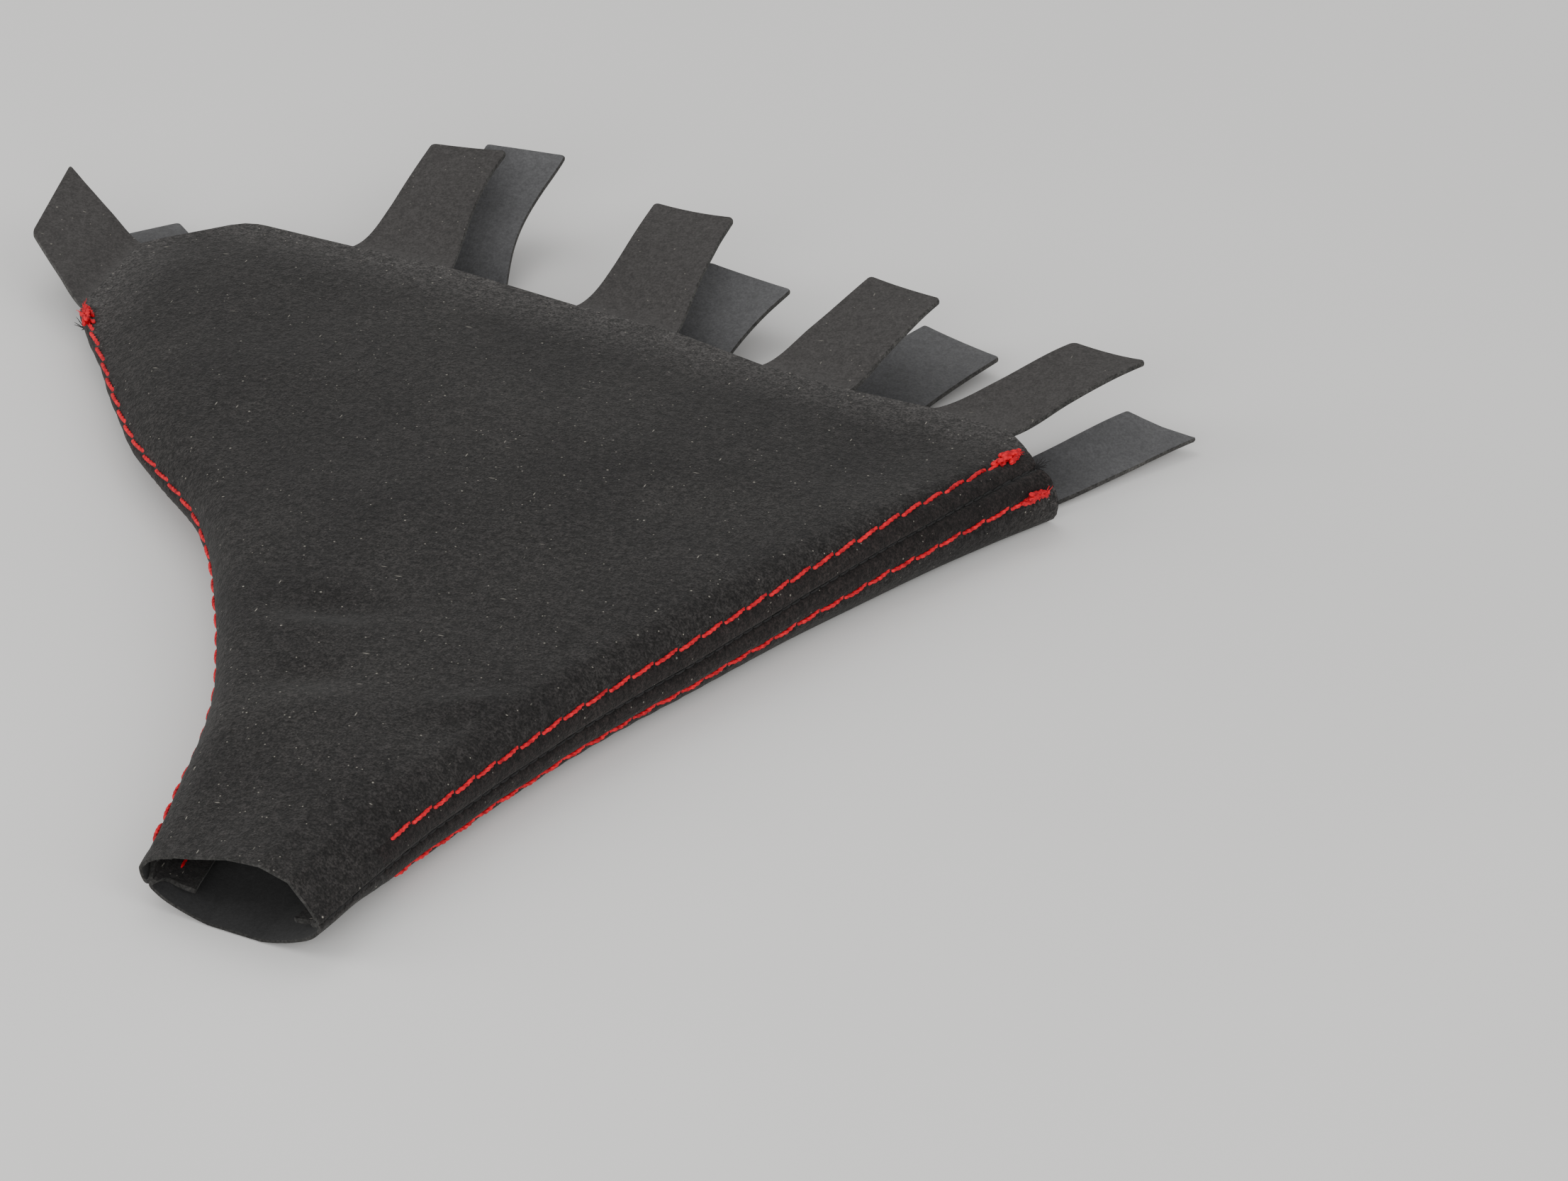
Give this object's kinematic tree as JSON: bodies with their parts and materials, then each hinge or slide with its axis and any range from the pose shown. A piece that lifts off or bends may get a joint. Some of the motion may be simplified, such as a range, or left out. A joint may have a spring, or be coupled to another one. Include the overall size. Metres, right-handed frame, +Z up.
{
  "type": "gear lever gaiter",
  "caption": "Flat-lying tapering suede sleeve with a narrow open neck, double topstitched side seams and folding fixing tabs round a wide mouth.",
  "frame": {"origin": "middle of the bounding box, on the surface that the gaiter lies on", "axes": "+Z up, +Y from the neck towards the mouth, +X to the right seen from above"},
  "size_m": [0.2492, 0.2867, 0.0208],
  "materials": {
    "suede": "matt brushed nap",
    "red_thread": "satin twisted thread",
    "black_thread": "satin twisted thread"
  },
  "bodies": {
    "sleeve": {"front_panel": "suede", "back_panel": "suede", "left_front_allowance": "suede", "left_back_allowance": "suede", "right_front_allowance": "suede", "right_back_allowance": "suede", "left_front_topstitch": "red_thread", "left_front_bobbin_thread": "red_thread", "left_front_back_tack": "red_thread", "left_back_topstitch": "red_thread", "left_back_bobbin_thread": "red_thread", "left_back_back_tack": "red_thread", "right_front_topstitch": "red_thread", "right_front_bobbin_thread": "red_thread", "right_front_back_tack": "red_thread", "right_back_topstitch": "red_thread", "right_back_bobbin_thread": "red_thread", "right_back_back_tack": "red_thread", "left_seam_thread": "black_thread", "right_seam_thread": "black_thread"},
    "front_tab_1": {"front_tab_1": "suede"},
    "front_tab_2": {"front_tab_2": "suede"},
    "front_tab_3": {"front_tab_3": "suede"},
    "front_tab_4": {"front_tab_4": "suede"},
    "front_tab_5": {"front_tab_5": "suede"},
    "back_tab_1": {"back_tab_1": "suede"},
    "back_tab_2": {"back_tab_2": "suede"},
    "back_tab_3": {"back_tab_3": "suede"},
    "back_tab_4": {"back_tab_4": "suede"},
    "back_tab_5": {"back_tab_5": "suede"}
  },
  "joints": [
    {"name": "front_tab_1_fold", "type": "hinge", "parent": "sleeve", "child": "front_tab_1", "pos_m": [-0.0984, 0.07872, 0.00875], "axis": [0.0711, 0.996, 0.0534], "range_deg": [0, 120]},
    {"name": "front_tab_2_fold", "type": "hinge", "parent": "sleeve", "child": "front_tab_2", "pos_m": [-0.04155, 0.099, 0.01175], "axis": [0.985, -0.1713, 0.0214], "range_deg": [0, 120]},
    {"name": "front_tab_3_fold", "type": "hinge", "parent": "sleeve", "child": "front_tab_3", "pos_m": [0.01146, 0.08649, 0.012], "axis": [0.9772, -0.2124, 0], "range_deg": [0, 120]},
    {"name": "front_tab_4_fold", "type": "hinge", "parent": "sleeve", "child": "front_tab_4", "pos_m": [0.05398, 0.07274, 0.0124], "axis": [0.964, -0.2651, 0.0193], "range_deg": [0, 120]},
    {"name": "front_tab_5_fold", "type": "hinge", "parent": "sleeve", "child": "front_tab_5", "pos_m": [0.09151, 0.06348, 0.0135], "axis": [0.9308, -0.362, 0.0517], "range_deg": [0, 120]},
    {"name": "back_tab_1_fold", "type": "hinge", "parent": "sleeve", "child": "back_tab_1", "pos_m": [-0.08736, 0.09185, 0.0014], "axis": [-0.4856, -0.874, 0.0194], "range_deg": [0, 120]},
    {"name": "back_tab_2_fold", "type": "hinge", "parent": "sleeve", "child": "back_tab_2", "pos_m": [-0.03104, 0.10399, 0], "axis": [-0.9806, 0.1961, 0], "range_deg": [0, 120]},
    {"name": "back_tab_3_fold", "type": "hinge", "parent": "sleeve", "child": "back_tab_3", "pos_m": [0.01949, 0.08348, 0], "axis": [-0.9487, 0.3162, 0], "range_deg": [0, 120]},
    {"name": "back_tab_4_fold", "type": "hinge", "parent": "sleeve", "child": "back_tab_4", "pos_m": [0.06099, 0.07699, 0], "axis": [-0.9578, 0.2873, 0], "range_deg": [0, 120]},
    {"name": "back_tab_5_fold", "type": "hinge", "parent": "sleeve", "child": "back_tab_5", "pos_m": [0.10005, 0.05696, 0], "axis": [-0.8682, 0.4961, 0], "range_deg": [0, 120]}
  ]
}
